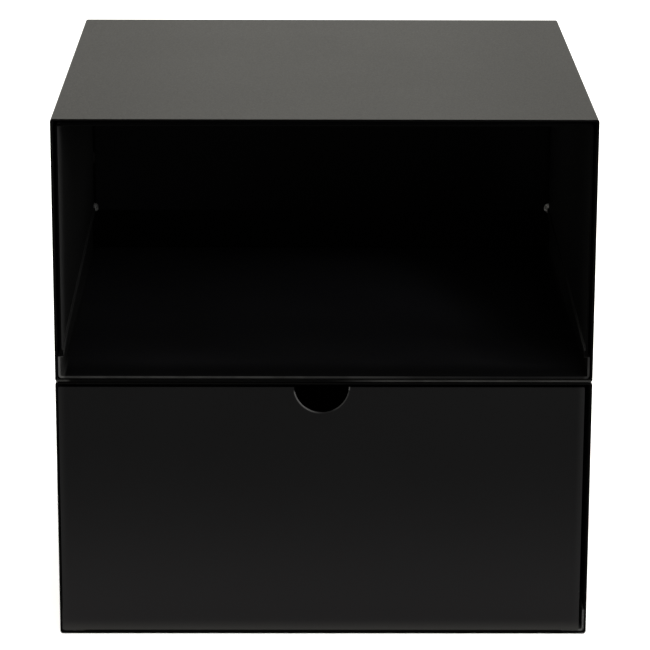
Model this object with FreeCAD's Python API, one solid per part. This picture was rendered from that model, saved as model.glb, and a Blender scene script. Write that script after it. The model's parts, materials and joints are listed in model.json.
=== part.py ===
import FreeCAD, Part
import math
import os

# Black sheet-steel bedside cabinet: two stacked modules of the same height. The upper module is an open
# compartment with an inner lining, the lower module holds a drawer that slides out to the front.
# Millimetres. +X is to the right seen from the front, +Y goes to the back, +Z is up.
# The origin is the middle of the footprint, on the surface that the foot pads stand on.

# ---- Whole object --------------------------------------------------------------------------------------
WIDTH = 400.0
DEPTH = 400.0
HEIGHT = 400.0
FRONT = -DEPTH / 2
HALF_W = WIDTH / 2

# ---- Shells of the two modules -------------------------------------------------------------------------
SHELL_T = 1.5
BEND_R = 2.0
EDGE_R = 0.35
PAD_T = 0.6
JOINT_GAP = 0.5
MODULE_H = (HEIGHT - PAD_T - JOINT_GAP) / 2
BACK_HEAD_H = 1.0
SHELL_REAR = DEPTH / 2 - BACK_HEAD_H
REAR_FLANGE = 12.0
MITRE_SLIT = 0.6
LOWER_Z = PAD_T
UPPER_Z = PAD_T + MODULE_H + JOINT_GAP
WALL_X = HALF_W - SHELL_T

# ---- Back panels ---------------------------------------------------------------------------------------
PANEL_T = 1.2
PANEL_CLEAR = 0.5
PANEL_Y = SHELL_REAR - SHELL_T - PANEL_T

# ---- Inner sheets of the open compartment --------------------------------------------------------------
LINER_T = 1.2
LINER_OFFSET = 4.0
LINER_FRONT = FRONT + 1.0
LINER_REAR = 186.0
LINER_X = HALF_W - LINER_OFFSET
LINER_TOP = HEIGHT - LINER_OFFSET
SEAM = 0.5
PAN_T = 1.5
PAN_R = 2.5
PAN_FRONT = FRONT + 0.5
PAN_GAP = 1.15
PAN_Z = UPPER_Z + SHELL_T + PAN_GAP
PAN_FLOOR = PAN_Z + PAN_T
FLANGE_FRONT = 15.5
FLANGE_REAR = 32.0
LINER_LAP = 1.0
LINER_HEM = 5.0
STRIP_W = 12.0
SIDE_STRIP_BOTTOM = 255.0
SIDE_STRIP_TOP = 375.0
TOP_STRIP_HALF = 140.0
FLOOR_STRIP_HALF = 170.0
WALL_STRIPS_Y = (-110.0, 20.0, 150.0)
FLOOR_STRIPS_Y = (-185.0, -6.0, 165.0)

# ---- Weld beads of the lining --------------------------------------------------------------------------
CORNER_BEAD_R = 3.4
CORNER_BEAD_L = 1.0
CORNER_BEAD_RISE = 3.0
TACK_R = 1.1
TACK_L = 8.0
HIGH_TACK = 116.0
LOW_TACK = 47.0

# ---- Runners and glide strips --------------------------------------------------------------------------
ANGLE_LEG = 17.0
ANGLE_T = 1.5
ANGLE_R = 2.0
RUNNER_FRONT = FRONT + 2.0
RUNNER_REAR = 190.0
RUNNER_Z = LOWER_Z + SHELL_T
RUNNER_WELD = 1.3
RUNNER_WELD_L = 18.0
RUNNER_WELDS_Y = (-160.0, -60.0, 40.0, 140.0)
GLIDE_T = 0.5
GLIDE_W = 10.0
GLIDE_INSET = 2.0
GLIDE_FRONT_INSET = 8.0
GLIDE_REAR_INSET = 5.0

# ---- Drawer --------------------------------------------------------------------------------------------
DRAWER_FRONT_W = 392.4
DRAWER_FRONT_SHIFT = -1.8
DRAWER_FRONT_T = 1.5
DRAWER_FRONT_Z = 3.3
DRAWER_FRONT_TOP = 196.5
DRAWER_CORNER_R = 1.0
NOTCH_R = 20.4
NOTCH_RISE = 0.6
TRAY_X = 194.0
TRAY_T = 1.2
TRAY_R = 2.0
TRAY_CLEAR = 0.2
TRAY_Z = RUNNER_Z + ANGLE_T + GLIDE_T + TRAY_CLEAR
TRAY_FRONT = FRONT + DRAWER_FRONT_T
TRAY_REAR = 193.0
TRAY_TOP = 155.0
HEM_H = 8.0
BACK_FLANGE = 12.0
BACK_SIDE_CLEAR = 0.2
BACK_TOP_CLEAR = 1.0
TAB_W = 70.0
TAB_TOP = 191.0
TAB_R = 6.0
SIDE_GLIDE_CLEAR = 0.4
SIDE_GLIDE_L = 20.0
SIDE_GLIDE_BOTTOM = 8.0
SIDE_GLIDE_TOP = 16.0
SIDE_GLIDES_Y = (50.0, 165.0)
TRAVEL = 250.0

# ---- Drawer stop ---------------------------------------------------------------------------------------
STOP_LEG = 20.0
STOP_T = 1.5
STOP_W = 60.0
STOP_BOTTOM = 186.0
STOP_CLEAR = 0.3
STOP_RIVET_X = 18.0
BUFFER_T = 2.0
BUFFER_SIDE_INSET = 5.0
BUFFER_LOW_INSET = 0.5
BUFFER_HIGH_INSET = 1.0
BUMPER_R = 6.0
BUMPER_BEVEL = 0.8
BUMPER_X = 120.0
BUMPER_Z = 110.0
STOP_REAR = TRAY_REAR - TRAY_T - TRAVEL - STOP_CLEAR - BUFFER_T

# ---- Small parts ---------------------------------------------------------------------------------------
RIVET_R = 1.6
RIVET_HEAD_R = 3.2
RIVET_TAIL_R = 2.3
RIVET_TAIL = 1.8
BACK_RIVET_HEIGHTS = (0.2, 0.5, 0.8)
TRAY_RIVETS_Z = (35.0, 85.0, 135.0)
STACK_RIVET_R = 2.4
STACK_HEAD_R = 5.0
STACK_HEAD_H = 1.0
STACK_AT = 150.0
SHIM_R = 8.0
STUD_R = 2.0
STUD_L = 8.0
STUD_BEVEL = 0.5
STUD_X = 150.0
STUDS_Z = (40.0, 125.0)
NUT_AF = 7.0
NUT_H = 3.2
FOOT_R = 12.0
FOOT_INSET = 26.0

TOUCH = 0.01

UP = FreeCAD.Vector(0, 0, 1)
RIGHT = FreeCAD.Vector(1, 0, 0)
BACK = FreeCAD.Vector(0, 1, 0)


def vec(x, y, z):
    return FreeCAD.Vector(x, y, z)


def block(x0, x1, y0, y1, z0, z1):
    """A box between two corners."""
    return Part.makeBox(x1 - x0, y1 - y0, z1 - z0, vec(x0, y0, z0))


def join(shapes):
    """Shapes that touch, as one solid."""
    solid = shapes[0]
    for other in shapes[1:]:
        solid = solid.fuse(other)
    return solid.removeSplitter()


def group(solids):
    """Separate solids kept apart in one node."""
    return Part.makeCompound(solids)


def rounded_face(x0, x1, z0, z1, r, y):
    """A rectangle with round corners, standing across Y at the given y."""
    k = r * (1 - math.sqrt(0.5))
    lines = []
    lines.append(Part.LineSegment(vec(x0 + r, y, z0), vec(x1 - r, y, z0)))
    lines.append(Part.Arc(vec(x1 - r, y, z0), vec(x1 - k, y, z0 + k), vec(x1, y, z0 + r)))
    lines.append(Part.LineSegment(vec(x1, y, z0 + r), vec(x1, y, z1 - r)))
    lines.append(Part.Arc(vec(x1, y, z1 - r), vec(x1 - k, y, z1 - k), vec(x1 - r, y, z1)))
    lines.append(Part.LineSegment(vec(x1 - r, y, z1), vec(x0 + r, y, z1)))
    lines.append(Part.Arc(vec(x0 + r, y, z1), vec(x0 + k, y, z1 - k), vec(x0, y, z1 - r)))
    lines.append(Part.LineSegment(vec(x0, y, z1 - r), vec(x0, y, z0 + r)))
    lines.append(Part.Arc(vec(x0, y, z0 + r), vec(x0 + k, y, z0 + k), vec(x0 + r, y, z0)))
    return Part.Face(Part.Wire([line.toShape() for line in lines]))


def rounded_bar(x0, x1, y0, y1, z0, z1, r):
    """A bar along Y whose section has round corners."""
    return rounded_face(x0, x1, z0, z1, r, y0).extrude(vec(0, y1 - y0, 0))


def sleeve(x0, x1, y0, y1, z0, z1, t, r):
    """A closed bent sheet along Y: outer size, sheet thickness and outer bend radius."""
    outer = rounded_bar(x0, x1, y0, y1, z0, z1, r)
    inner = rounded_bar(x0 + t, x1 - t, y0 - t, y1 + t, z0 + t, z1 - t, r - t)
    return outer.cut(inner)


def lies_at_y(edge, y):
    """Whether an edge lies wholly in the plane across Y at y."""
    return abs(edge.BoundBox.YMin - y) < TOUCH and abs(edge.BoundBox.YMax - y) < TOUCH


def edges_at_y(shape, y):
    return [edge for edge in shape.Edges if lies_at_y(edge, y)]


def fold_edges(shape, floor_z, end_y, with_uprights):
    """The edges of a box where a folded tray is rounded: along its floor and, if asked, up its end at y."""
    found = []
    for edge in shape.Edges:
        on_floor = edge.BoundBox.ZMax < floor_z + TOUCH
        along = edge.BoundBox.YLength > TOUCH
        upright = edge.BoundBox.ZLength > TOUCH
        at_end = lies_at_y(edge, end_y)
        if (on_floor and (along or at_end)) or (with_uprights and upright and at_end):
            found.append(edge)
    return found


def place(shape, base, axis):
    """A copy of a shape built along +Z, turned to the axis and moved to base."""
    moved = shape.copy()
    moved.Placement = FreeCAD.Placement(base, FreeCAD.Rotation(UP, axis))
    return moved


def turned(points):
    """A solid of revolution about Z from (radius, height) points that start and end on the axis."""
    outline = Part.makePolygon([vec(r, 0, z) for r, z in points + points[:1]])
    return Part.Face(outline).revolve(vec(0, 0, 0), UP, 360)


def blind_rivet(shank_r, head_r, head_h, grip, tail_r, tail_l):
    """A blind rivet along Z: domed head above z = 0, grip below it, and the tail under the grip."""
    rim = head_h * 0.35
    mandrel_r = shank_r * 0.45
    bulge = tail_l * 0.35
    return turned([
        (0, head_h * 0.4),
        (mandrel_r, head_h * 0.4),
        (mandrel_r, head_h),
        (head_r * 0.55, head_h * 0.92),
        (head_r * 0.85, head_h * 0.68),
        (head_r, rim),
        (head_r, 0),
        (shank_r, 0),
        (shank_r, -grip),
        (tail_r, -grip - bulge),
        (tail_r, -grip - 2 * bulge),
        (shank_r, -grip - tail_l),
        (0, -grip - tail_l),
    ])


def solid_rivet(shank_r, head_r, head_h, grip):
    """A rivet along Z with a flat head above z = 0 and the same head below the grip."""
    bevel = head_h * 0.4
    return turned([
        (0, head_h),
        (head_r - bevel, head_h),
        (head_r, head_h - bevel),
        (head_r, 0),
        (shank_r, 0),
        (shank_r, -grip),
        (head_r, -grip),
        (head_r, bevel - grip - head_h),
        (head_r - bevel, -grip - head_h),
        (0, -grip - head_h),
    ])


def disc(r, t, bevel):
    """A round pad or pin along Z from z = 0 up, with its upper rim bevelled."""
    return turned([(0, 0), (r, 0), (r, t - bevel), (r - bevel, t), (0, t)])


def ring(outer_r, inner_r, t):
    return Part.makeCylinder(outer_r, t).cut(Part.makeCylinder(inner_r, t))


def hex_nut(across_flats, height, bore_r):
    """A hexagon nut along Z from z = 0 up, with its corners bevelled."""
    corner_r = across_flats / math.sqrt(3)
    corners = []
    for i in range(7):
        turn = math.radians(60 * i)
        corners.append(vec(corner_r * math.cos(turn), corner_r * math.sin(turn), 0))
    prism = Part.Face(Part.makePolygon(corners)).extrude(vec(0, 0, height))
    bevel = corner_r - across_flats / 2
    crown = turned([
        (0, 0),
        (across_flats / 2, 0),
        (corner_r, bevel),
        (corner_r, height - bevel),
        (across_flats / 2, height),
        (0, height),
    ])
    return prism.common(crown).cut(Part.makeCylinder(bore_r, height))


def holes(shape, centres, r, axis, length):
    """A shape with round holes of one radius drilled through it, centred on the given points."""
    for centre in centres:
        start = centre - axis * (length / 2)
        shape = shape.cut(place(Part.makeCylinder(r, length), start, axis))
    return shape


# ---- Where the rivets, studs and welds go --------------------------------------------------------------
def back_rivet_points(z0):
    """Centres of one module's rear rivets, on the outer face of the shell's rear flanges."""
    inset = SHELL_T + REAR_FLANGE / 2
    points = []
    for side in (-1, 1):
        for height in BACK_RIVET_HEIGHTS:
            points.append(vec(side * (HALF_W - inset), SHELL_REAR, z0 + MODULE_H * height))
        for z in (z0 + inset, z0 + MODULE_H - inset):
            points.append(vec(side * HALF_W / 3, SHELL_REAR, z))
    return points


def stack_points():
    """Centres of the rivets that join the modules, in the middle of the joint gap."""
    z = LOWER_Z + MODULE_H + JOINT_GAP / 2
    return [vec(x, y, z) for x in (-STACK_AT, STACK_AT) for y in (-STACK_AT, STACK_AT)]


def stop_points():
    """Centres of the rivets of the drawer stop, in the middle of the joint gap."""
    z = LOWER_Z + MODULE_H + JOINT_GAP / 2
    y = STOP_REAR - STOP_LEG / 2
    return [vec(x, y, z) for x in (-STOP_RIVET_X, STOP_RIVET_X)]


def tray_rivet_points():
    """Centres of the rivets of the drawer's rear wall, on the outer faces of the tray's sides."""
    y = TRAY_REAR - BACK_FLANGE / 2
    return [vec(side * TRAY_X, y, z) for side in (-1, 1) for z in TRAY_RIVETS_Z]


def stud_points():
    """Centres of the studs, on the rear face of the drawer's front panel."""
    return [vec(x, TRAY_FRONT, z) for x in (-STUD_X, STUD_X) for z in STUDS_Z]


# ---- Shells --------------------------------------------------------------------------------------------
def mitre_slit(x_side, z, z_side):
    """The slit between two rear flanges, along the diagonal of the corner at (x_side, z)."""
    corner = vec(x_side * HALF_W, SHELL_REAR - SHELL_T, z)
    inward = vec(-x_side, 0, z_side)
    across = vec(x_side, 0, z_side) * (MITRE_SLIT / math.sqrt(8))
    start = corner + inward * SHELL_T
    end = corner + inward * (SHELL_T + REAR_FLANGE + MITRE_SLIT)
    outline = [start - across, start + across, end + across, end - across, start - across]
    return Part.Face(Part.makePolygon(outline)).extrude(BACK * SHELL_T)


def shell(z0):
    """One module's sleeve with the inward rear flanges that carry its back panel."""
    z1 = z0 + MODULE_H
    body = sleeve(-HALF_W, HALF_W, FRONT, SHELL_REAR, z0, z1, SHELL_T, BEND_R)
    flange_y = SHELL_REAR - SHELL_T
    frame = rounded_bar(-HALF_W, HALF_W, flange_y, SHELL_REAR, z0, z1, BEND_R)
    lip = SHELL_T + REAR_FLANGE
    frame = frame.cut(block(-HALF_W + lip, HALF_W - lip, flange_y, SHELL_REAR, z0 + lip, z1 - lip))
    for x_side in (-1, 1):
        frame = frame.cut(mitre_slit(x_side, z0, 1)).cut(mitre_slit(x_side, z1, -1))
    body = join([body, frame])
    body = body.makeFillet(EDGE_R, edges_at_y(body, FRONT))
    return holes(body, back_rivet_points(z0), RIVET_R, BACK, 4 * SHELL_T)


def drill_joint(shape):
    """Drills one of the two joined sheets for the rivets between the modules."""
    shape = holes(shape, stack_points(), STACK_RIVET_R, UP, 4 * SHELL_T)
    return holes(shape, stop_points(), RIVET_R, UP, 4 * SHELL_T)


def make_upper_shell():
    return drill_joint(shell(UPPER_Z))


def make_lower_shell():
    return drill_joint(shell(LOWER_Z))


def back_panel(z0):
    """A flat panel inside the rear flanges of one module."""
    x = WALL_X - PANEL_CLEAR
    low = z0 + SHELL_T + PANEL_CLEAR
    high = z0 + MODULE_H - SHELL_T - PANEL_CLEAR
    plate = block(-x, x, PANEL_Y, PANEL_Y + PANEL_T, low, high)
    return holes(plate, back_rivet_points(z0), RIVET_R, BACK, 8 * SHELL_T)


def make_upper_back_panel():
    return back_panel(UPPER_Z)


def make_lower_back_panel():
    return back_panel(LOWER_Z)


def make_back_rivets():
    rivet = blind_rivet(
        RIVET_R, RIVET_HEAD_R, BACK_HEAD_H, SHELL_T + PANEL_T, RIVET_TAIL_R, RIVET_TAIL
    )
    points = back_rivet_points(LOWER_Z) + back_rivet_points(UPPER_Z)
    return group([place(rivet, point, BACK) for point in points])


def make_stack_rivets():
    grip = 2 * SHELL_T + JOINT_GAP
    rivet = solid_rivet(STACK_RIVET_R, STACK_HEAD_R, STACK_HEAD_H, grip)
    return group([place(rivet, point + UP * (grip / 2), UP) for point in stack_points()])


def make_joint_gasket():
    """Thin foam frame between the modules, and the two shims at the rivets of the drawer stop."""
    outer = STACK_AT + STRIP_W / 2
    inner = STACK_AT - STRIP_W / 2
    low = LOWER_Z + MODULE_H
    high = low + JOINT_GAP
    frame = block(-outer, outer, -outer, outer, low, high)
    frame = frame.cut(block(-inner, inner, -inner, inner, low, high))
    pieces = [holes(frame, stack_points(), STACK_RIVET_R, UP, 4 * JOINT_GAP)]
    shim = ring(SHIM_R, RIVET_R, JOINT_GAP)
    for point in stop_points():
        pieces.append(place(shim, point - UP * (JOINT_GAP / 2), UP))
    return group(pieces)


def make_foot_pads():
    pads = []
    pad = disc(FOOT_R, PAD_T, PAD_T / 4)
    for x in (-HALF_W + FOOT_INSET, HALF_W - FOOT_INSET):
        for y in (FRONT + FOOT_INSET, SHELL_REAR - FOOT_INSET):
            pads.append(place(pad, vec(x, y, PAD_T), -UP))
    return group(pads)


# ---- Lining of the open compartment --------------------------------------------------------------------
def above_slope(front_rise, rear_rise):
    """A block that fills everything above a plane which climbs from the front to the rear of the pan."""
    front = PAN_FLOOR + front_rise
    rear = PAN_FLOOR + rear_rise
    top = HEIGHT + SHELL_T
    y0 = FRONT - SHELL_T
    y1 = LINER_REAR + 2 * PAN_T
    corners = [
        vec(-WIDTH, y0, front),
        vec(-WIDTH, y1, rear),
        vec(-WIDTH, y1, top),
        vec(-WIDTH, y0, top),
        vec(-WIDTH, y0, front),
    ]
    return Part.Face(Part.makePolygon(corners)).extrude(vec(2 * WIDTH, 0, 0))


def make_shelf_pan():
    """Floor of the compartment: side flanges that climb to the rear upstand, round bends."""
    x = LINER_X + PAN_T
    rear = LINER_REAR + PAN_T
    high = PAN_FLOOR + FLANGE_REAR
    outer = block(-x, x, PAN_FRONT, rear, PAN_Z, high)
    inner = block(-LINER_X, LINER_X, PAN_FRONT - PAN_R, LINER_REAR, PAN_FLOOR, high + PAN_R)
    outer = outer.makeFillet(PAN_R, fold_edges(outer, PAN_Z, rear, False))
    inner = inner.makeFillet(PAN_R - PAN_T, fold_edges(inner, PAN_FLOOR, LINER_REAR, False))
    return outer.cut(inner).cut(above_slope(FLANGE_FRONT, FLANGE_REAR))


def make_liner_hood():
    """Inner sheet of the compartment: two sides and the top, with hems along the sides' lower edges."""
    front_low = FLANGE_FRONT - LINER_LAP
    rear_low = FLANGE_REAR - LINER_LAP
    hood = sleeve(-LINER_X, LINER_X, LINER_FRONT, LINER_REAR, PAN_Z, LINER_TOP, LINER_T, PAN_R)
    hood = hood.common(above_slope(front_low, rear_low))
    lowest = PAN_FLOOR + front_low + TOUCH
    front_edges = [e for e in edges_at_y(hood, LINER_FRONT) if e.BoundBox.ZMax > lowest]
    hood = hood.makeFillet(EDGE_R, front_edges)
    wall_x = LINER_X - LINER_T
    for side in (-1, 1):
        near, far = sorted((side * (wall_x - LINER_T), side * wall_x))
        hem = block(near, far, LINER_FRONT + SEAM, LINER_REAR - LINER_T - SEAM, PAN_Z, LINER_TOP)
        hem = hem.common(above_slope(front_low, rear_low))
        hem = hem.cut(above_slope(front_low + LINER_HEM, rear_low + LINER_HEM))
        hood = hood.fuse(hem)
    return hood.removeSplitter()


def make_liner_back():
    """Rear wall of the compartment, a seam's width inside the hood."""
    x = LINER_X - LINER_T - SEAM
    low = PAN_FLOOR + FLANGE_REAR - LINER_LAP
    high = LINER_TOP - LINER_T - SEAM
    return block(-x, x, LINER_REAR - LINER_T, LINER_REAR, low, high)


def bead(x, y, z, r, length):
    """A weld bead along Z with round ends."""
    tube = Part.makeCylinder(r, length, vec(x, y, z - length / 2))
    ends = [Part.makeSphere(r, vec(x, y, z + end * length / 2)) for end in (-1, 1)]
    return join([tube] + ends)


def make_liner_welds(hood, back, pan):
    """Beads in the rear corners of the compartment, and the tacks above them."""
    x = LINER_X - LINER_T - SEAM
    y = LINER_REAR - LINER_T
    foot = PAN_FLOOR + FLANGE_REAR
    beads = []
    for side in (-1, 1):
        beads.append(bead(side * x, y, foot + CORNER_BEAD_RISE, CORNER_BEAD_R, CORNER_BEAD_L))
        beads.append(bead(side * x, y, foot + HIGH_TACK, TACK_R, TACK_L))
    beads.append(bead(-x, y, foot + LOW_TACK, TACK_R, TACK_L))
    beads = [one.cut(hood).cut(back).cut(pan) for one in beads]
    return group([max(one.Solids, key=lambda solid: solid.Volume) for one in beads])


def make_spacer_strips():
    """Foam strips that hold the hood and the pan off the upper shell."""
    strips = []
    for y in WALL_STRIPS_Y:
        y1 = y + STRIP_W
        for side in (-1, 1):
            near, far = sorted((side * LINER_X, side * WALL_X))
            strips.append(block(near, far, y, y1, SIDE_STRIP_BOTTOM, SIDE_STRIP_TOP))
        strips.append(block(-TOP_STRIP_HALF, TOP_STRIP_HALF, y, y1, LINER_TOP, HEIGHT - SHELL_T))
    for y in FLOOR_STRIPS_Y:
        low = UPPER_Z + SHELL_T
        strips.append(block(-FLOOR_STRIP_HALF, FLOOR_STRIP_HALF, y, y + STRIP_W, low, PAN_Z))
    return group(strips)


# ---- Runners -------------------------------------------------------------------------------------------
def runner(side):
    """A steel angle in the lower corner of the lower shell, its inner corner facing the drawer."""
    bar = rounded_bar(
        WALL_X - 2 * ANGLE_LEG, WALL_X, RUNNER_FRONT, RUNNER_REAR,
        RUNNER_Z, RUNNER_Z + 2 * ANGLE_LEG, ANGLE_R,
    )
    hollow = rounded_bar(
        WALL_X - 3 * ANGLE_LEG, WALL_X - ANGLE_T, RUNNER_FRONT, RUNNER_REAR,
        RUNNER_Z + ANGLE_T, RUNNER_Z + 3 * ANGLE_LEG, ANGLE_R - ANGLE_T,
    )
    keep = block(WALL_X - ANGLE_LEG, WALL_X, RUNNER_FRONT, RUNNER_REAR, RUNNER_Z, RUNNER_Z + ANGLE_LEG)
    angle = bar.cut(hollow).common(keep)
    if side < 0:
        angle = angle.mirror(vec(0, 0, 0), RIGHT)
    return angle


def make_runner_left():
    return runner(-1)


def make_runner_right():
    return runner(1)


def make_runner_welds():
    """Short fillet welds between the top of each angle and the shell's wall."""
    top = RUNNER_Z + ANGLE_LEG
    welds = []
    for side in (-1, 1):
        x = side * WALL_X
        for y in RUNNER_WELDS_Y:
            corners = [vec(x, y, top), vec(x - side * RUNNER_WELD, y, top), vec(x, y, top + RUNNER_WELD)]
            section = Part.Face(Part.makePolygon(corners + corners[:1]))
            welds.append(section.extrude(BACK * RUNNER_WELD_L))
    return group(welds)


def make_glide_strips():
    """Plastic strips on the angles, under the edges of the drawer's floor."""
    strips = []
    outer = WALL_X - ANGLE_T - GLIDE_INSET
    y0 = RUNNER_FRONT + GLIDE_FRONT_INSET
    y1 = RUNNER_REAR - GLIDE_REAR_INSET
    z = RUNNER_Z + ANGLE_T
    for side in (-1, 1):
        near, far = sorted((side * (outer - GLIDE_W), side * outer))
        strips.append(block(near, far, y0, y1, z, z + GLIDE_T))
    return group(strips)


# ---- Drawer --------------------------------------------------------------------------------------------
def make_drawer_front():
    """Flat front panel with the half-round finger notch in its top edge."""
    x0 = DRAWER_FRONT_SHIFT - DRAWER_FRONT_W / 2
    x1 = DRAWER_FRONT_SHIFT + DRAWER_FRONT_W / 2
    rear = FRONT + DRAWER_FRONT_T
    plate = rounded_bar(x0, x1, FRONT, rear, DRAWER_FRONT_Z, DRAWER_FRONT_TOP, DRAWER_CORNER_R)
    notch_centre = vec(DRAWER_FRONT_SHIFT, FRONT, DRAWER_FRONT_TOP + NOTCH_RISE)
    plate = plate.cut(Part.makeCylinder(NOTCH_R, DRAWER_FRONT_T, notch_centre, BACK))
    return plate.makeFillet(EDGE_R, edges_at_y(plate, FRONT))


def make_drawer_tray():
    """Floor, sides and inner front of the drawer, with closed hems along the upper edges."""
    outer = block(-TRAY_X, TRAY_X, TRAY_FRONT, TRAY_REAR, TRAY_Z, TRAY_TOP)
    x = TRAY_X - TRAY_T
    y = TRAY_FRONT + TRAY_T
    inner = block(-x, x, y, TRAY_REAR + TRAY_R, TRAY_Z + TRAY_T, TRAY_TOP + TRAY_R)
    outer = outer.makeFillet(TRAY_R, fold_edges(outer, TRAY_Z, TRAY_FRONT, True))
    inner = inner.makeFillet(TRAY_R - TRAY_T, fold_edges(inner, TRAY_Z + TRAY_T, y, True))
    tray = outer.cut(inner)
    hem_x = x - TRAY_T
    hem_z = TRAY_TOP - HEM_H
    hem_end = TRAY_REAR - BACK_FLANGE - TRAY_T
    for side in (-1, 1):
        near, far = sorted((side * hem_x, side * x))
        tray = tray.fuse(block(near, far, y, hem_end, hem_z, TRAY_TOP))
    tray = tray.fuse(block(-x, x, y, y + TRAY_T, hem_z, TRAY_TOP)).removeSplitter()
    tray = holes(tray, tray_rivet_points(), RIVET_R, RIGHT, 4 * TRAY_T)
    return holes(tray, stud_points(), STUD_R, BACK, 4 * TRAY_T)


def make_drawer_back():
    """Rear wall of the drawer, with side flanges and the high tab that meets the stop."""
    x = TRAY_X - TRAY_T - BACK_SIDE_CLEAR
    low = TRAY_Z + TRAY_R
    high = TRAY_TOP - HEM_H - BACK_TOP_CLEAR
    front = TRAY_REAR - TRAY_T
    plate = block(-x, x, front, TRAY_REAR, low, TRAY_TOP)
    tab = rounded_bar(-TAB_W / 2, TAB_W / 2, front, TRAY_REAR, TRAY_TOP - 2 * TAB_R, TAB_TOP, TAB_R)
    wall = join([plate, tab])
    for side in (-1, 1):
        near, far = sorted((side * (x - TRAY_T), side * x))
        wall = wall.fuse(block(near, far, TRAY_REAR - BACK_FLANGE, front, low, high))
    return holes(wall.removeSplitter(), tray_rivet_points(), RIVET_R, RIGHT, 8 * TRAY_T)


def make_tray_rivets():
    grip = 2 * TRAY_T + BACK_SIDE_CLEAR
    rivet = blind_rivet(RIVET_R, RIVET_HEAD_R, BACK_HEAD_H, grip, RIVET_TAIL_R, RIVET_TAIL)
    rivets = []
    for point in tray_rivet_points():
        outward = RIGHT if point.x > 0 else -RIGHT
        rivets.append(place(rivet, point, outward))
    return group(rivets)


def make_front_studs():
    """Threaded studs welded to the rear of the front panel."""
    stud = disc(STUD_R, STUD_L, STUD_BEVEL)
    return group([place(stud, point, BACK) for point in stud_points()])


def make_front_nuts():
    nut = hex_nut(NUT_AF, NUT_H, STUD_R)
    return group([place(nut, point + BACK * TRAY_T, BACK) for point in stud_points()])


def make_side_glides():
    """Low buttons on the tray's sides that keep it centred between the angles."""
    outer = WALL_X - ANGLE_T - SIDE_GLIDE_CLEAR
    glides = []
    for side in (-1, 1):
        near, far = sorted((side * TRAY_X, side * outer))
        for y in SIDE_GLIDES_Y:
            glides.append(block(near, far, y, y + SIDE_GLIDE_L, SIDE_GLIDE_BOTTOM, SIDE_GLIDE_TOP))
    return group(glides)


# ---- Stops ---------------------------------------------------------------------------------------------
def make_drawer_stop():
    """Angle bracket under the top of the lower shell, in the path of the drawer's tab."""
    top = LOWER_Z + MODULE_H - SHELL_T
    plate = block(-STOP_W / 2, STOP_W / 2, STOP_REAR - STOP_LEG, STOP_REAR, top - STOP_T, top)
    lip = block(-STOP_W / 2, STOP_W / 2, STOP_REAR - STOP_T, STOP_REAR, STOP_BOTTOM, top)
    return holes(join([plate, lip]), stop_points(), RIVET_R, UP, 8 * SHELL_T)


def make_stop_rivets():
    grip = STOP_T + 2 * SHELL_T + JOINT_GAP
    rivet = solid_rivet(RIVET_R, RIVET_HEAD_R, STACK_HEAD_H, grip)
    lift = JOINT_GAP / 2 + SHELL_T
    return group([place(rivet, point + UP * lift, UP) for point in stop_points()])


def make_stop_buffer():
    """Rubber pad on the rear of the bracket."""
    x = STOP_W / 2 - BUFFER_SIDE_INSET
    low = STOP_BOTTOM + BUFFER_LOW_INSET
    high = LOWER_Z + MODULE_H - SHELL_T - STOP_T - BUFFER_HIGH_INSET
    return block(-x, x, STOP_REAR, STOP_REAR + BUFFER_T, low, high)


def make_drawer_bumpers():
    """Rubber buttons on the lower back panel that the closed drawer stops against."""
    length = PANEL_Y - TRAY_REAR - STOP_CLEAR
    button = disc(BUMPER_R, length, BUMPER_BEVEL)
    return group([place(button, vec(x, PANEL_Y, BUMPER_Z), -BACK) for x in (-BUMPER_X, BUMPER_X)])


def main():
    os.makedirs("parts", exist_ok=True)
    nodes = {
        "upper_shell": make_upper_shell(),
        "lower_shell": make_lower_shell(),
        "upper_back_panel": make_upper_back_panel(),
        "lower_back_panel": make_lower_back_panel(),
        "back_rivets": make_back_rivets(),
        "stack_rivets": make_stack_rivets(),
        "joint_gasket": make_joint_gasket(),
        "foot_pads": make_foot_pads(),
        "shelf_pan": make_shelf_pan(),
        "liner_hood": make_liner_hood(),
        "liner_back": make_liner_back(),
        "spacer_strips": make_spacer_strips(),
        "runner_left": make_runner_left(),
        "runner_right": make_runner_right(),
        "runner_welds": make_runner_welds(),
        "glide_strips": make_glide_strips(),
        "drawer_front": make_drawer_front(),
        "drawer_tray": make_drawer_tray(),
        "drawer_back": make_drawer_back(),
        "tray_rivets": make_tray_rivets(),
        "front_studs": make_front_studs(),
        "front_nuts": make_front_nuts(),
        "side_glides": make_side_glides(),
        "drawer_stop": make_drawer_stop(),
        "stop_rivets": make_stop_rivets(),
        "stop_buffer": make_stop_buffer(),
        "drawer_bumpers": make_drawer_bumpers(),
    }
    nodes["liner_welds"] = make_liner_welds(
        nodes["liner_hood"], nodes["liner_back"], nodes["shelf_pan"]
    )
    for name, shape in nodes.items():
        if not shape.isValid():
            raise ValueError(name + " is not a valid shape")
        shape.exportStep("parts/" + name + ".step")
        print(name, len(shape.Solids), "solids", round(shape.Volume / 1000, 2), "cm3")


main()
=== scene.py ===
import json
import math

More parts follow.
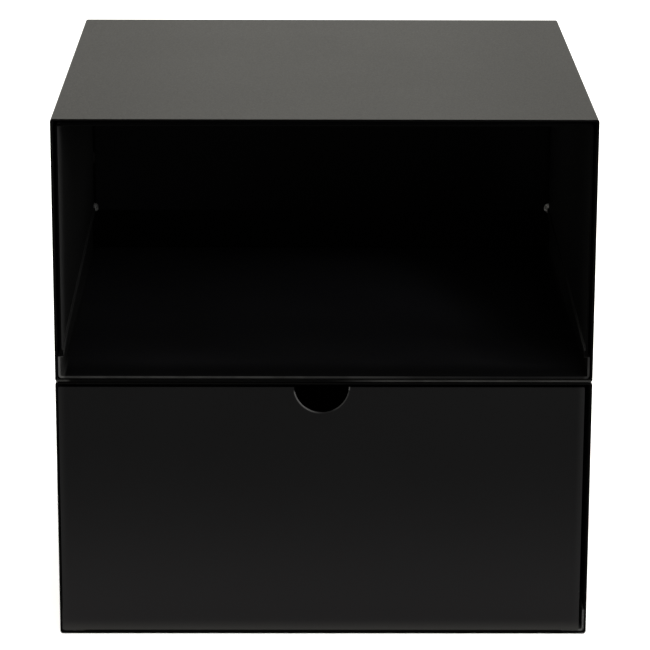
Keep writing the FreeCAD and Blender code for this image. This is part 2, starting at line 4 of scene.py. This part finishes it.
import bpy
from mathutils import Euler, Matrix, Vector


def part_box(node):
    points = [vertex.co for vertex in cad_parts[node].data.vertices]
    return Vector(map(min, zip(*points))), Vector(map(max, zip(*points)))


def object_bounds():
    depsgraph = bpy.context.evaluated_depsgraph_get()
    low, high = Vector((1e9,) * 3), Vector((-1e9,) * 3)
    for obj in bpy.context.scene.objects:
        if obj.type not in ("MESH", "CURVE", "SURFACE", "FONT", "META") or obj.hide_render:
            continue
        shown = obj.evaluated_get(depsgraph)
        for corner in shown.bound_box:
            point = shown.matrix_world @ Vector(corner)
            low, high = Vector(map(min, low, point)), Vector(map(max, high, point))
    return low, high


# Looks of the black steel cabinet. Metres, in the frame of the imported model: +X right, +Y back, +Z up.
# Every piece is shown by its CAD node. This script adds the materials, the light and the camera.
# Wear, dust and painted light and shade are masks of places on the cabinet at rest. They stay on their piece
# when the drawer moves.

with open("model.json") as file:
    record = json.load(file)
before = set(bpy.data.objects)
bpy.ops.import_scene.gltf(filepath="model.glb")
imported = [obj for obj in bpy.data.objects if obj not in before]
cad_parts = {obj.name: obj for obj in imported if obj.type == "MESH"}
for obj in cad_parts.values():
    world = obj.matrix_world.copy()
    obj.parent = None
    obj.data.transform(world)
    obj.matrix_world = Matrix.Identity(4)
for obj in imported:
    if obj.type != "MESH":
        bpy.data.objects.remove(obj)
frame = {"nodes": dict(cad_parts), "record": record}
cad_low, cad_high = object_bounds()
nodes = frame["nodes"]

MM = 0.001

# Sizes of the CAD that two masks follow. The notch's centre lies above the drawer front's upper edge.
NOTCH_RADIUS = 20.4 * MM
NOTCH_RISE = 0.6 * MM
HEM_HEIGHT = 5 * MM

# Camera: place in metres, with the distance from the cabinet's front, turns in degrees, lens in millimetres.
CAMERA_X = -0.016
CAMERA_DISTANCE = 2.262
CAMERA_HEIGHT = 0.889
CAMERA_PITCH = 15.9
CAMERA_ROLL = -0.18
CAMERA_YAW = -0.369
LENS = 175.95

WORLD_STRENGTH = 1.12
SUN_STRENGTH = 3.3


# ---- Node helpers --------------------------------------------------------------------------------------
class Tree:
    """A material's node tree, with short calls for the nodes that the coats are made of."""

    def __init__(self, name):
        self.material = bpy.data.materials.new(name)
        self.material.use_nodes = True
        self.nodes = self.material.node_tree.nodes
        self.links = self.material.node_tree.links
        self.shader = self.nodes["Principled BSDF"]
        self.place = self.nodes.new("ShaderNodeTexCoord").outputs["Object"]
        self.split = self.nodes.new("ShaderNodeSeparateXYZ")
        self.link(self.place, self.split.inputs["Vector"])

    def link(self, source, target):
        self.links.new(source, target)

    def feed(self, socket, value):
        """Links a node's output to a socket, or sets the socket to a plain value."""
        if isinstance(value, bpy.types.NodeSocket):
            self.link(value, socket)
        else:
            socket.default_value = value

    def axis(self, name):
        """One coordinate of the place, in metres in the cabinet's frame."""
        return self.split.outputs[name]

    def noise(self, size, detail=2.0, roughness=0.5, stretch=None):
        """Noise whose blotches are about `size` metres across."""
        node = self.nodes.new("ShaderNodeTexNoise")
        node.inputs["Scale"].default_value = 1.0 / size
        node.inputs["Detail"].default_value = detail
        node.inputs["Roughness"].default_value = roughness
        self.feed(node.inputs["Vector"], self.stretched(stretch) if stretch else self.place)
        return node.outputs["Fac"]

    def stretched(self, factors):
        """The place with each coordinate scaled."""
        node = self.nodes.new("ShaderNodeMapping")
        node.inputs["Scale"].default_value = factors
        self.link(self.place, node.inputs["Vector"])
        return node.outputs["Vector"]

    def cells(self, size):
        """Distance to the nearest of scattered points about `size` metres apart, as a share of `size`."""
        node = self.nodes.new("ShaderNodeTexVoronoi")
        node.inputs["Scale"].default_value = 1.0 / size
        self.link(self.place, node.inputs["Vector"])
        return node.outputs["Distance"]

    def specks(self, cell, radius):
        """Sparse round specks: 1 in the middle of a speck, 0 outside."""
        return self.ramp(self.cells(cell), 0.0, radius / cell, 1.0, 0.0)

    def ramp(self, value, from_low, from_high, to_low=0.0, to_high=1.0):
        """A soft step from one number to another while a value grows between two limits."""
        node = self.nodes.new("ShaderNodeMapRange")
        node.interpolation_type = "SMOOTHSTEP"
        for name, number in (("From Min", from_low), ("From Max", from_high),
                             ("To Min", to_low), ("To Max", to_high)):
            node.inputs[name].default_value = number
        self.feed(node.inputs["Value"], value)
        return node.outputs["Result"]

    def math(self, operation, *values):
        """Result of an operation on one to three values, each a node's output or a number."""
        node = self.nodes.new("ShaderNodeMath")
        node.operation = operation
        for socket, value in zip(node.inputs, values):
            self.feed(socket, value)
        return node.outputs[0]

    def mix(self, factor, a, b):
        """Blend of two colours."""
        node = self.nodes.new("ShaderNodeMix")
        node.data_type = "RGBA"
        self.feed(node.inputs["Factor"], factor)
        self.feed(node.inputs["A"], a)
        self.feed(node.inputs["B"], b)
        return node.outputs["Result"]

    def bump(self, height, distance, under=None):
        """Relief `distance` metres high, laid over the relief `under`."""
        node = self.nodes.new("ShaderNodeBump")
        node.inputs["Distance"].default_value = distance
        node.inputs["Strength"].default_value = 1.0
        self.link(height, node.inputs["Height"])
        if under:
            self.link(under, node.inputs["Normal"])
        return node.outputs["Normal"]

    def surface(self, colour, roughness, normal):
        """Links the shader's colour, roughness and normal."""
        self.link(colour, self.shader.inputs["Base Color"])
        self.link(roughness, self.shader.inputs["Roughness"])
        self.link(normal, self.shader.inputs["Normal"])


def grey(value):
    return (value, value, value)


def rgba(colour):
    return (*colour, 1.0)


def scaled(colour, factor):
    return tuple(c * factor for c in colour)


# ---- Masks: helpers ------------------------------------------------------------------------------------
def all_of(t, first, *others):
    """Where every one of some masks holds."""
    mask = first
    for other in others:
        mask = t.math("MULTIPLY", mask, other)
    return mask


def any_of(t, first, *others):
    """Where at least one of some masks holds."""
    mask = first
    for other in others:
        mask = t.math("MAXIMUM", mask, other)
    return mask


def rise(t, axis, start, end):
    """Grows from 0 to 1 between two places along an axis."""
    return t.ramp(t.axis(axis), start, end, 0.0, 1.0)


def fall(t, axis, start, end):
    """Drops from 1 to 0 between two places along an axis."""
    return t.ramp(t.axis(axis), start, end, 1.0, 0.0)


def off_middle(t, middle=0.0):
    """Distance to the left or to the right of a middle."""
    return t.math("ABSOLUTE", t.math("SUBTRACT", t.axis("X"), middle))


def uneven_highlight(t, least):
    """Uneven strength of the painted highlights along edges, from `least` to 1."""
    return t.ramp(t.noise(14 * MM, detail=3.0), 0.35, 0.6, least, 1.0)


# ---- Masks: outside of the shells ----------------------------------------------------------------------
def top_ends(t):
    """The left and right parts of the top, a little darker than its middle."""
    ends = t.ramp(off_middle(t), 70 * MM, cad_high.x - 10 * MM)
    return all_of(t, ends, rise(t, "Z", cad_high.z - 1 * MM, cad_high.z - 0.5 * MM))


def shell_front_painted_shade(t):
    """Painted shade on the shells' front edges: near-black, and made metal so that they lose their sheen."""
    return fall(t, "Y", cad_low.y + 0.8 * MM, cad_low.y + 1.6 * MM)


def joint_edge_highlight(t):
    """Painted highlight on the upper shell's lower front edge, from the middle to the right and at both
    ends.
    """
    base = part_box("upper_shell")[0].z
    lowest_part = fall(t, "Z", base + 1.3 * MM, base + 2.0 * MM)
    edge = all_of(t, shell_front_painted_shade(t), rise(t, "Z", base - 0.3 * MM, base), lowest_part)
    ends = t.ramp(off_middle(t), cad_high.x - 12 * MM, cad_high.x - 8 * MM)
    along = any_of(t, rise(t, "X", 0.0, 60 * MM), ends)
    return all_of(t, edge, along, uneven_highlight(t, 0.7))


# ---- Masks: front of the drawer ------------------------------------------------------------------------
def front_floor_light(t):
    """Painted light from the pale floor: grows from the top of the drawer's front to its foot, a little more
    to the left.
    """
    low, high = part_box("drawer_front")
    height = t.math("POWER", fall(t, "Z", low.z, high.z), 2.0)
    return all_of(t, height, t.ramp(t.axis("X"), low.x, high.x, 1.0, 0.85))


def front_foot_floor_light(t):
    """Painted light from the pale floor on the last centimetre above the drawer front's lower edge."""
    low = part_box("drawer_front")[0]
    return t.math("POWER", fall(t, "Z", low.z, low.z + 12 * MM), 2.0)


def front_sides(t):
    """A narrow lighter margin along the drawer front's left and right edges."""
    low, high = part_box("drawer_front")
    half = (high.x - low.x) / 2
    return t.ramp(off_middle(t, (low.x + high.x) / 2), half - 6 * MM, half, 0.0, 0.35)


def notch_rim_highlight(t):
    """Painted highlight on the finger notch's rim: most of all at its lower left and at its right corner."""
    low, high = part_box("drawer_front")
    middle = (low.x + high.x) / 2
    lower = fall(t, "Z", high.z - 5 * MM, high.z - 2 * MM)
    lower_left = all_of(t, lower, t.ramp(t.axis("X"), middle - 13 * MM, middle + 2 * MM, 1.0, 0.06))
    lower_right = all_of(t, lower, t.ramp(t.axis("X"), middle + 5 * MM, middle + 14 * MM, 0.0, 0.3))
    right_half = rise(t, "X", middle, middle + 1 * MM)
    corner = all_of(t, rise(t, "Z", high.z - 3 * MM, high.z - 2 * MM), right_half)
    across = t.math("SUBTRACT", t.axis("X"), middle)
    down = t.math("SUBTRACT", t.axis("Z"), high.z + NOTCH_RISE)
    square = t.math("ADD", t.math("MULTIPLY", across, across), t.math("MULTIPLY", down, down))
    rim = t.ramp(t.math("SQRT", square), NOTCH_RADIUS + 0.2 * MM, NOTCH_RADIUS + 1.2 * MM, 1.0, 0.0)
    return all_of(t, rim, any_of(t, corner, lower_left, lower_right))


# ---- Masks: open compartment ---------------------------------------------------------------------------
def on_wall(t, side):
    """The left (-1) or the right (1) wall of the compartment."""
    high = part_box("liner_hood")[1]
    across = t.math("MULTIPLY", t.axis("X"), side)
    return t.ramp(across, high.x - 4 * MM, high.x - 2 * MM)


def walls(t):
    """Both walls of the compartment."""
    return any_of(t, on_wall(t, -1.0), on_wall(t, 1.0))


def deep_left_painted_light(t):
    """Painted light on the rear part of the left wall, above the pan's flange."""
    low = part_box("liner_hood")[0]
    upper = rise(t, "Z", low.z, low.z + 90 * MM)
    return all_of(t, upper, rise(t, "Y", low.y + 140 * MM, low.y + 380 * MM), on_wall(t, -1.0))


def deep_right_painted_light(t):
    """Painted light on the rear part of the right wall."""
    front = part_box("liner_hood")[0].y
    return all_of(t, rise(t, "Y", front + 60 * MM, front + 380 * MM), on_wall(t, 1.0))


def left_wall_front_light(t):
    """Painted light on the first few centimetres of the left wall."""
    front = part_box("liner_hood")[0].y
    return all_of(t, t.math("POWER", fall(t, "Y", front, front + 75 * MM), 2.2), on_wall(t, -1.0))


def hood_front_painted_shade(t):
    """Painted shade on the lining's front edges: near-black, and made metal so that they lose their sheen.
    """
    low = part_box("liner_hood")[0]
    return all_of(t, fall(t, "Y", low.y + 0.8 * MM, low.y + 1.8 * MM), rise(t, "Z", low.z, low.z + 1 * MM))


def lowest_at(node, near_y, reach):
    """Height of a node's lowest point near a place along Y."""
    points = [v.co for v in nodes[node].data.vertices if abs(v.co.y - near_y) < reach]
    return min(point.z for point in points)


def hem_line_highlight(t):
    """Painted highlight along the upper edge of the hems that climb along the compartment's walls, clearer
    on the right.
    """
    low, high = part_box("liner_hood")
    reach = 5 * MM
    front_z = lowest_at("liner_hood", low.y, reach) + HEM_HEIGHT
    rear_z = lowest_at("liner_hood", high.y, reach) + HEM_HEIGHT
    slope = (rear_z - front_z) / (high.y - low.y)
    line = t.math("MULTIPLY_ADD", t.axis("Y"), slope, front_z - slope * low.y)
    away = t.math("ABSOLUTE", t.math("SUBTRACT", t.axis("Z"), line))
    at_side = t.ramp(off_middle(t), high.x - 6 * MM, high.x - 4 * MM)
    clearer = t.ramp(t.axis("X"), low.x, high.x, 0.6, 1.0)
    return all_of(t, t.ramp(away, 0.8 * MM, 2.4 * MM, 1.0, 0.0), at_side, clearer)


def back_wall(t):
    """The rear of the lining."""
    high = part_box("liner_hood")[1]
    return rise(t, "Y", high.y - 3 * MM, high.y - 2 * MM)


def back_sides_painted_light(t):
    """Painted light on the rear of the lining towards its left and right ends."""
    low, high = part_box("liner_back")
    left = fall(t, "X", low.x, low.x + 220 * MM)
    return all_of(t, back_wall(t), any_of(t, left, rise(t, "X", high.x - 60 * MM, high.x - 20 * MM)))


def corner_seam_shade(t):
    """Painted shade along the seams between the lining's rear and its walls."""
    low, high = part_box("liner_back")
    at_end = t.ramp(off_middle(t), high.x - 2 * MM, high.x - 1 * MM)
    return all_of(t, rise(t, "Y", low.y - 6 * MM, low.y - 4 * MM), at_end)


def on_shelf(t):
    """The flat floor of the shelf pan, not its flanges."""
    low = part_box("shelf_pan")[0]
    return fall(t, "Z", low.z + 3 * MM, low.z + 6 * MM)


def shelf_middle_painted_light(t):
    """Painted light on the middle of the shelf, which ends along a slanting line of painted shadow before
    the right wall.
    """
    low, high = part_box("shelf_pan")
    grows = rise(t, "Y", low.y + 20 * MM, low.y + 260 * MM)
    ends = fall(t, "Y", high.y - 60 * MM, high.y - 10 * MM)
    slant = t.math("ADD", t.axis("X"), t.math("MULTIPLY", t.axis("Y"), 0.33))
    before_wall = t.ramp(slant, 85 * MM, 150 * MM, 1.0, 0.0)
    return all_of(t, grows, ends, t.ramp(t.axis("X"), low.x, high.x, 0.1, 1.0), before_wall, on_shelf(t))


def shelf_front_painted_shade(t):
    """Painted shade on the shelf's first centimetres and on its right part."""
    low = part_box("shelf_pan")[0]
    near = t.ramp(t.axis("Y"), low.y + 10 * MM, low.y + 45 * MM, 1.0, 0.2)
    shaded_part = any_of(t, near, t.ramp(t.axis("X"), 60 * MM, 180 * MM, 0.0, 0.6))
    return all_of(t, shaded_part, fall(t, "Y", low.y + 120 * MM, low.y + 200 * MM), on_shelf(t))


def shelf_upstand_painted_shade(t):
    """Painted shade on the pan's rear upstand and the seam above it."""
    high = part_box("shelf_pan")[1]
    at_rear = rise(t, "Y", high.y - 5 * MM, high.y - 3 * MM)
    return all_of(t, at_rear, fall(t, "Z", high.z + 0.5 * MM, high.z + 1.5 * MM))


def pan_edge_highlight(t):
    """Painted highlight along the pan's front edge: most of all at its ends, least along the right half."""
    low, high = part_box("shelf_pan")
    hood_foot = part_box("liner_hood")[0].z
    left_end = fall(t, "X", low.x + 2 * MM, low.x + 6 * MM)
    right_end = t.ramp(t.axis("X"), high.x - 6 * MM, high.x - 2 * MM, 0.0, 0.21)
    along = t.ramp(t.axis("X"), -20 * MM, 120 * MM, 0.36, 0.05)
    edge = all_of(t, fall(t, "Y", low.y + 0.3 * MM, low.y + 1.0 * MM),
                  fall(t, "Z", hood_foot, hood_foot + 1 * MM))
    return all_of(t, edge, uneven_highlight(t, 0.6), any_of(t, along, left_end, right_end))


def covered_welds_and_left_shade(t):
    """Where the beads take the dark colour of a whole coat: on the tacks above the corners, and in part on
    the left bead as painted shade.
    """
    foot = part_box("liner_welds")[0].z
    left = t.ramp(t.axis("X"), -10 * MM, 10 * MM, 0.86, 0.0)
    return any_of(t, left, rise(t, "Z", foot + 12 * MM, foot + 14 * MM))


# ---- Materials -----------------------------------------------------------------------------------------
def powder_coat(name, colour, roughness, specular, sag=1.0, nibs=1.0, layers=(), bare_and_painted_light=None):
    """
    Satin powder coat: orange peel, slow waves of thin sheet, faint cloudiness and a few nibs of dust.
    Each layer is a function of the tree that gives a mask, and the colour that shows where it is 1.
    `bare_and_painted_light` is a mask of the places that turn to metal of the near-black colour: a painted
    shade that takes away their sheen.
    """
    t = Tree(name)
    cloud = t.ramp(t.noise(90 * MM, detail=3.0), 0.3, 0.7)
    speck = t.math("MULTIPLY", t.specks(55 * MM, 0.55 * MM), nibs)
    base = t.mix(cloud, rgba(scaled(colour, 0.9)), rgba(scaled(colour, 1.12)))
    for mask, shade in layers:
        base = t.mix(mask(t), base, rgba(shade))
    base = t.mix(speck, base, rgba(tuple(0.05 + c * 2 for c in colour)))
    grain = t.ramp(t.noise(0.9 * MM), 0.2, 0.8, roughness - 0.05, roughness + 0.05)
    waves = t.bump(t.noise(160 * MM, detail=1.0), 0.5 * MM * sag)
    peel = t.bump(t.noise(2.2 * MM), 0.012 * MM, under=waves)
    t.surface(base, grain, t.bump(speck, 0.12 * MM, under=peel))
    t.shader.inputs["Specular IOR Level"].default_value = specular
    if bare_and_painted_light:
        t.link(bare_and_painted_light(t), t.shader.inputs["Metallic"])
    return t.material


def worn_coat_with_highlights(name, colour, bare_and_painted_light, roughness, specular, covered_and_shaded=None):
    """
    Coat rubbed thin in patches, whose pale patches are also painted highlights: on the ends of the angles
    and on the weld beads.
    `covered_and_shaded` is a mask of the places that take the dark colour of a whole coat, and of painted
    shade.
    """
    whole_coat_and_shade = grey(0.0015)
    t = Tree(name)
    patch = t.ramp(t.noise(3 * MM, detail=4.0, roughness=0.7), 0.45, 0.62)
    base = t.mix(patch, rgba(colour), rgba(bare_and_painted_light))
    if covered_and_shaded:
        base = t.mix(covered_and_shaded(t), base, rgba(whole_coat_and_shade))
    grain = t.ramp(t.noise(1.2 * MM), 0.2, 0.8, roughness - 0.08, roughness + 0.08)
    t.surface(base, grain, t.bump(t.noise(1.0 * MM, detail=3.0), 0.05 * MM))
    t.shader.inputs["Specular IOR Level"].default_value = specular
    return t.material


def zinc(name):
    """Zinc plate with a fine mottle."""
    t = Tree(name)
    mottle = t.noise(1.5 * MM, detail=4.0, roughness=0.7)
    base = t.mix(mottle, rgba((0.42, 0.43, 0.45)), rgba((0.68, 0.68, 0.66)))
    t.surface(base, t.ramp(mottle, 0.2, 0.8, 0.28, 0.45), t.bump(t.noise(0.4 * MM), 0.01 * MM))
    t.shader.inputs["Metallic"].default_value = 1.0
    return t.material


def rubber(name, colour):
    """Matt moulded rubber with a fine bloom."""
    t = Tree(name)
    bloom = t.noise(8 * MM, detail=4.0)
    base = t.mix(bloom, rgba(colour), rgba(scaled(colour, 1.8)))
    t.surface(base, t.ramp(bloom, 0.3, 0.7, 0.7, 0.85), t.bump(t.noise(0.5 * MM), 0.03 * MM))
    return t.material


def foam(name, colour):
    """Closed-cell foam tape, with its small cells on the surface."""
    t = Tree(name)
    depth = t.cells(0.6 * MM)
    base = t.mix(depth, rgba(colour), rgba(scaled(colour, 2.2)))
    t.surface(base, t.ramp(depth, 0.0, 0.7, 0.8, 0.95), t.bump(depth, 0.12 * MM))
    return t.material


def slick_plastic(name, colour):
    """Low-friction plastic, rubbed into fine lines along the drawer's travel."""
    t = Tree(name)
    lines = t.noise(0.7 * MM, detail=3.0, stretch=(1.0, 0.03, 1.0))
    base = t.mix(lines, rgba(colour), rgba(scaled(colour, 2.0)))
    t.surface(base, t.ramp(lines, 0.3, 0.7, 0.3, 0.5), t.bump(lines, 0.02 * MM))
    return t.material


SHELL_LAYERS = [
    (top_ends, (0.0030, 0.0030, 0.0028)),
    # painted shade: near-black front edges of the shells
    (shell_front_painted_shade, grey(0.0012)),
    # painted highlight: the lower front edge of the upper shell
    (joint_edge_highlight, (0.016, 0.016, 0.0157)),
]
FRONT_LAYERS = [
    # painted light from the floor, towards the drawer front's foot
    (front_floor_light, (0.0043, 0.0041, 0.0043)),
    (front_sides, grey(0.0062)),
    # painted light from the floor on the drawer front's lowest centimetre
    (front_foot_floor_light, (0.0110, 0.0108, 0.0104)),
    # painted highlight on the finger notch's rim
    (notch_rim_highlight, grey(0.029)),
]
INNER_LAYERS = [
    (walls, grey(0.0028)),
    # painted light on the rear of the left wall
    (deep_left_painted_light, grey(0.0092)),
    # painted light on the rear of the right wall
    (deep_right_painted_light, (0.0140, 0.0140, 0.0142)),
    # painted light and shadow on the shelf's middle
    (shelf_middle_painted_light, (0.0078, 0.0078, 0.0090)),
    # painted shade on the shelf's front and right part
    (shelf_front_painted_shade, (0.0012, 0.0012, 0.0013)),
    # painted shade: the rear of the lining, far darker than its walls
    (back_wall, grey(0.0003)),
    # painted light on the ends of the lining's rear
    (back_sides_painted_light, (0.0017, 0.0017, 0.0019)),
    # painted shade in the rear corners
    (corner_seam_shade, grey(0.0001)),
    # painted shade on the pan's rear upstand
    (shelf_upstand_painted_shade, grey(0.0002)),
    # painted light on the front of the left wall
    (left_wall_front_light, grey(0.0120)),
    # painted highlight along the hems' upper edge
    (hem_line_highlight, grey(0.012)),
    # painted shade on the lining's front edges
    (hood_front_painted_shade, grey(0.0008)),
    # painted highlight along the pan's front edge
    (pan_edge_highlight, (0.026, 0.026, 0.0256)),
]
MATERIALS = {
    # black_coat: the shells' front edges become near-black metal, a painted shade that takes away their
    # sheen
    "black_coat": powder_coat("black_coat", (0.008, 0.008, 0.0076), 0.46, 0.094,
                              layers=SHELL_LAYERS, bare_and_painted_light=shell_front_painted_shade),
    "front_coat": powder_coat("front_coat", (0.00065, 0.00065, 0.00073), 0.40, 0.034, layers=FRONT_LAYERS),
    # inner_coat: the lining's front edges become near-black metal, a painted shade that takes away their
    # sheen
    "inner_coat": powder_coat("inner_coat", (0.0031, 0.0031, 0.0034), 0.48, 0.01, nibs=0.6,
                              layers=INNER_LAYERS, bare_and_painted_light=hood_front_painted_shade),
    "black_rivet": powder_coat("black_rivet", grey(0.009), 0.42, 0.12, sag=0.0, nibs=0.0),
    # runner_coat: pale worn patches that are also painted highlights on the ends of the angles
    "runner_coat": worn_coat_with_highlights("runner_coat", grey(0.017), (0.050, 0.050, 0.049), 0.45, 0.2),
    # weld_coat: the beads' pale colour is a painted highlight; on the left bead it is dimmed with painted
    # shade
    "weld_coat": worn_coat_with_highlights("weld_coat", grey(0.18), (0.52, 0.52, 0.51), 0.36, 0.08,
                           covered_and_shaded=covered_welds_and_left_shade),
    "zinc_steel": zinc("zinc_steel"),
    "black_foam": foam("black_foam", grey(0.012)),
    "black_rubber": rubber("black_rubber", grey(0.014)),
    "glide_nylon": slick_plastic("glide_nylon", grey(0.03)),
}


def dress(piece, material):
    piece.data.materials.clear()
    piece.data.materials.append(material)


for part in frame["record"]["subparts"]:
    dress(nodes[part["node"]], MATERIALS[part["material_slot"]])


# ---- Floor, light and camera ---------------------------------------------------------------------------
def add_to_scene(name, data):
    thing = bpy.data.objects.new(name, data)
    bpy.context.scene.collection.objects.link(thing)
    return thing


def make_floor():
    """Plain pale floor that runs far past the view."""
    reach = 30.0
    mesh = bpy.data.meshes.new("floor")
    corners = [(-reach, -reach, 0), (reach, -reach, 0), (reach, reach, 0), (-reach, reach, 0)]
    mesh.from_pydata(corners, [], [(0, 1, 2, 3)])
    floor = add_to_scene("floor", mesh)
    t = Tree("floor_paper")
    base = t.mix(t.noise(0.4, detail=3.0), rgba(grey(0.86)), rgba(grey(0.88)))
    t.link(base, t.shader.inputs["Base Color"])
    t.shader.inputs["Roughness"].default_value = 0.9
    t.shader.inputs["Specular IOR Level"].default_value = 0.1
    dress(floor, t.material)


def soft_light(name, place, target, width, height, power):
    """
    A large soft box at `place` that faces `target`. The camera doesn't see it, and it isn't mirrored in
    the coats, so the top doesn't glare in the views from behind.
    """
    data = bpy.data.lights.new(name, "AREA")
    data.shape = "RECTANGLE"
    data.size = width
    data.size_y = height
    data.energy = power
    light = add_to_scene(name, data)
    light.location = place
    light.rotation_euler = (Vector(target) - Vector(place)).to_track_quat("-Z", "Y").to_euler()
    light.visible_camera = False
    light.visible_glossy = False


def high_sun(strength):
    """A wide soft sun straight above, which keeps the floor evenly pale and casts no side shadow."""
    data = bpy.data.lights.new("high_sun", "SUN")
    data.energy = strength
    data.angle = math.radians(60.0)
    add_to_scene("high_sun", data).location = (0.0, 0.0, 3.0)


def make_world(strength, colour):
    """Bright even surroundings, a little warm."""
    world = bpy.data.worlds.new("studio")
    world.use_nodes = True
    background = world.node_tree.nodes["Background"]
    background.inputs["Color"].default_value = rgba(colour)
    background.inputs["Strength"].default_value = strength
    bpy.context.scene.world = world


def make_camera():
    """A long lens in front, a little left of the middle, looking down on the cabinet."""
    data = bpy.data.cameras.new("camera")
    data.sensor_width = 36.0
    data.lens = LENS
    data.clip_start = 0.1
    data.clip_end = 100.0
    camera = add_to_scene("camera", data)
    camera.location = (CAMERA_X, cad_low.y - CAMERA_DISTANCE, CAMERA_HEIGHT)
    turn = (90.0 - CAMERA_PITCH, CAMERA_ROLL, CAMERA_YAW)
    camera.rotation_euler = Euler([math.radians(angle) for angle in turn])
    bpy.context.scene.camera = camera


make_floor()
make_world(WORLD_STRENGTH, (1.0, 0.975, 0.90))
high_sun(SUN_STRENGTH)
soft_light("key", (0.8, -2.2, 1.25), (0.0, -0.2, 0.25), 1.1, 1.0, 46.0)
soft_light("side", (2.1, -1.7, 1.0), (-0.2, -0.1, 0.3), 1.0, 0.8, 50.0)
make_camera()

view = bpy.context.scene.view_settings
view.view_transform = "Standard"
view.look = "None"
view.exposure = 0.0
view.gamma = 1.0
